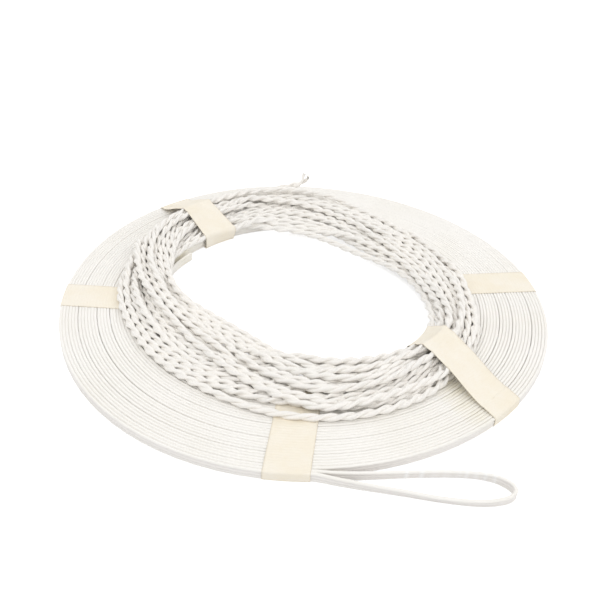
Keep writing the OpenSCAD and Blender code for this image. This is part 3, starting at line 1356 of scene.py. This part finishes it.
    def build(self, band: TapeBand, line: np.ndarray,
              material: bpy.types.Material) -> bpy.types.Object:
        """Make one band and put it in its CAD node's place.

        Args:
            band: the band to make.
            line: the twisted cord's centre line.
            material: the paper.

        Returns:
            The band of tape.
        """
        share = np.linspace(-1, 1, self.columns)
        runs = np.array([self.column(band, s * self.width / 2, line) for s in share])
        weight = np.array([0.25, 0.5, 0.25])[:, None, None, None]
        for _ in range(self.smoothings):
            held = np.concatenate([runs[:1], runs, runs[-1:]])
            beside = np.stack([held[:-2], held[1:-1], held[2:]])
            runs[1:-1] = (weight * beside).sum(axis=0)[1:-1]
        count = self.rows
        faces = [
            (c * count + r, (c + 1) * count + r,
             (c + 1) * count + (r + 1) % count, c * count + (r + 1) % count)
            for c in range(self.columns - 1) for r in range(count)
        ]
        mesh = bpy.data.meshes.new(band.name)
        mesh.from_pydata(runs[:, :, :3].reshape(-1, 3).tolist(), [], faces)
        carry(mesh, along=runs[:, :, 3], across=np.repeat(share, count))
        mesh.polygons.foreach_set("use_smooth", np.ones(len(faces), dtype=bool))
        mesh.materials.append(material)
        tape = link(band.name, mesh)
        thick = tape.modifiers.new("paper", "SOLIDIFY")
        thick.thickness = self.thickness
        thick.offset = 1.0
        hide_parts(band.name)
        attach(tape, BODY)
        log.info("%s: %d faces", band.name, len(faces))
        return tape


# ---------------------------------------------------------------- the room


@dataclass(frozen=True)
class Camera:
    """The view from the front, above the coils, with its turns in degrees."""

    place: tuple = (3.64 * MM, -459.7 * MM, 312.4 * MM)
    down: float = 34.11
    turn: float = 0.854
    roll: float = 2.687
    lens: float = 49.06
    sensor: float = 36.0

    def build(self) -> bpy.types.Object:
        """Make the scene's camera."""
        made = link("camera", bpy.data.cameras.new("camera"))
        made.data.lens = self.lens
        made.data.sensor_width = self.sensor
        made.data.clip_start = 10 * MM
        made.matrix_world = (
            Matrix.Translation(self.place)
            @ Matrix.Rotation(np.radians(self.turn), 4, "Z")
            @ Matrix.Rotation(np.radians(90 - self.down), 4, "X")
            @ Matrix.Rotation(np.radians(self.roll), 4, "Z")
        )
        bpy.context.scene.camera = made
        return made


@dataclass(frozen=True)
class Lamp:
    """A square lamp that points at the origin, with its power in watts."""

    name: str
    place: tuple
    side: float
    power: float

    def build(self) -> None:
        """Make the lamp."""
        light = bpy.data.lights.new(self.name, "AREA")
        light.size = self.side
        light.energy = self.power
        made = link(self.name, light)
        made.location = self.place
        made.rotation_euler = (-Vector(self.place)).to_track_quat("-Z", "Y").to_euler()


@dataclass(frozen=True)
class Studio:
    """A white floor and soft even light."""

    floor: FloorFinish
    floor_size: float = 6.0
    ambient: float = 0.66
    lamps: tuple = (
        Lamp("key", (-0.9, -0.5, 1.5), side=1.6, power=9.2),
        Lamp("fill", (1.2, -0.9, 1.1), side=1.4, power=8.0),
        Lamp("back", (0.3, 1.4, 1.2), side=1.4, power=4.8),
    )

    def build(self) -> None:
        """Make the floor, the lamps and the world."""
        half = self.floor_size / 2
        mesh = bpy.data.meshes.new("floor")
        corners = [(-half, -half, 0), (half, -half, 0), (half, half, 0), (-half, half, 0)]
        mesh.from_pydata(corners, [], [(0, 1, 2, 3)])
        mesh.materials.append(self.floor.make())
        link("floor", mesh)
        for lamp in self.lamps:
            lamp.build()
        world = bpy.data.worlds.new("studio")
        bpy.context.scene.world = world
        world.use_nodes = True
        world.node_tree.nodes.clear()
        graph = Graph(world.node_tree)
        path = graph.node("ShaderNodeLightPath")
        seen = path["Is Camera Ray"] + path["Is Glossy Ray"] + path["Is Transmission Ray"]
        strength = self.ambient + (1.0 - self.ambient) * seen
        glow = graph.node("ShaderNodeBackground", inputs={"Strength": strength, "Color": (1, 1, 1, 1)})
        graph.node("ShaderNodeOutputWorld", inputs={"Surface": glow[0]})


def main() -> None:
    """Build the camera, the cords, the tapes and the room."""
    logging.basicConfig(level=logging.INFO, format="%(name)s %(message)s")
    bpy.context.scene.view_settings.view_transform = "Standard"
    Camera().build()
    low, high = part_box("flat_cord_coil")
    flat = FlatCoil(StripFinish(), underside=low.z, top=high.z)
    flat.build()
    pile = TwistedCoil(YarnFinish(), flat)
    _, line = pile.build()
    tapes = Tapes(CrepeFinish(), flat, pile)
    paper = tapes.finish.make()
    for band in tapes.bands:
        tapes.build(band, line, paper)
    Studio(FloorFinish()).build()


if __name__ == "__main__":
    main()
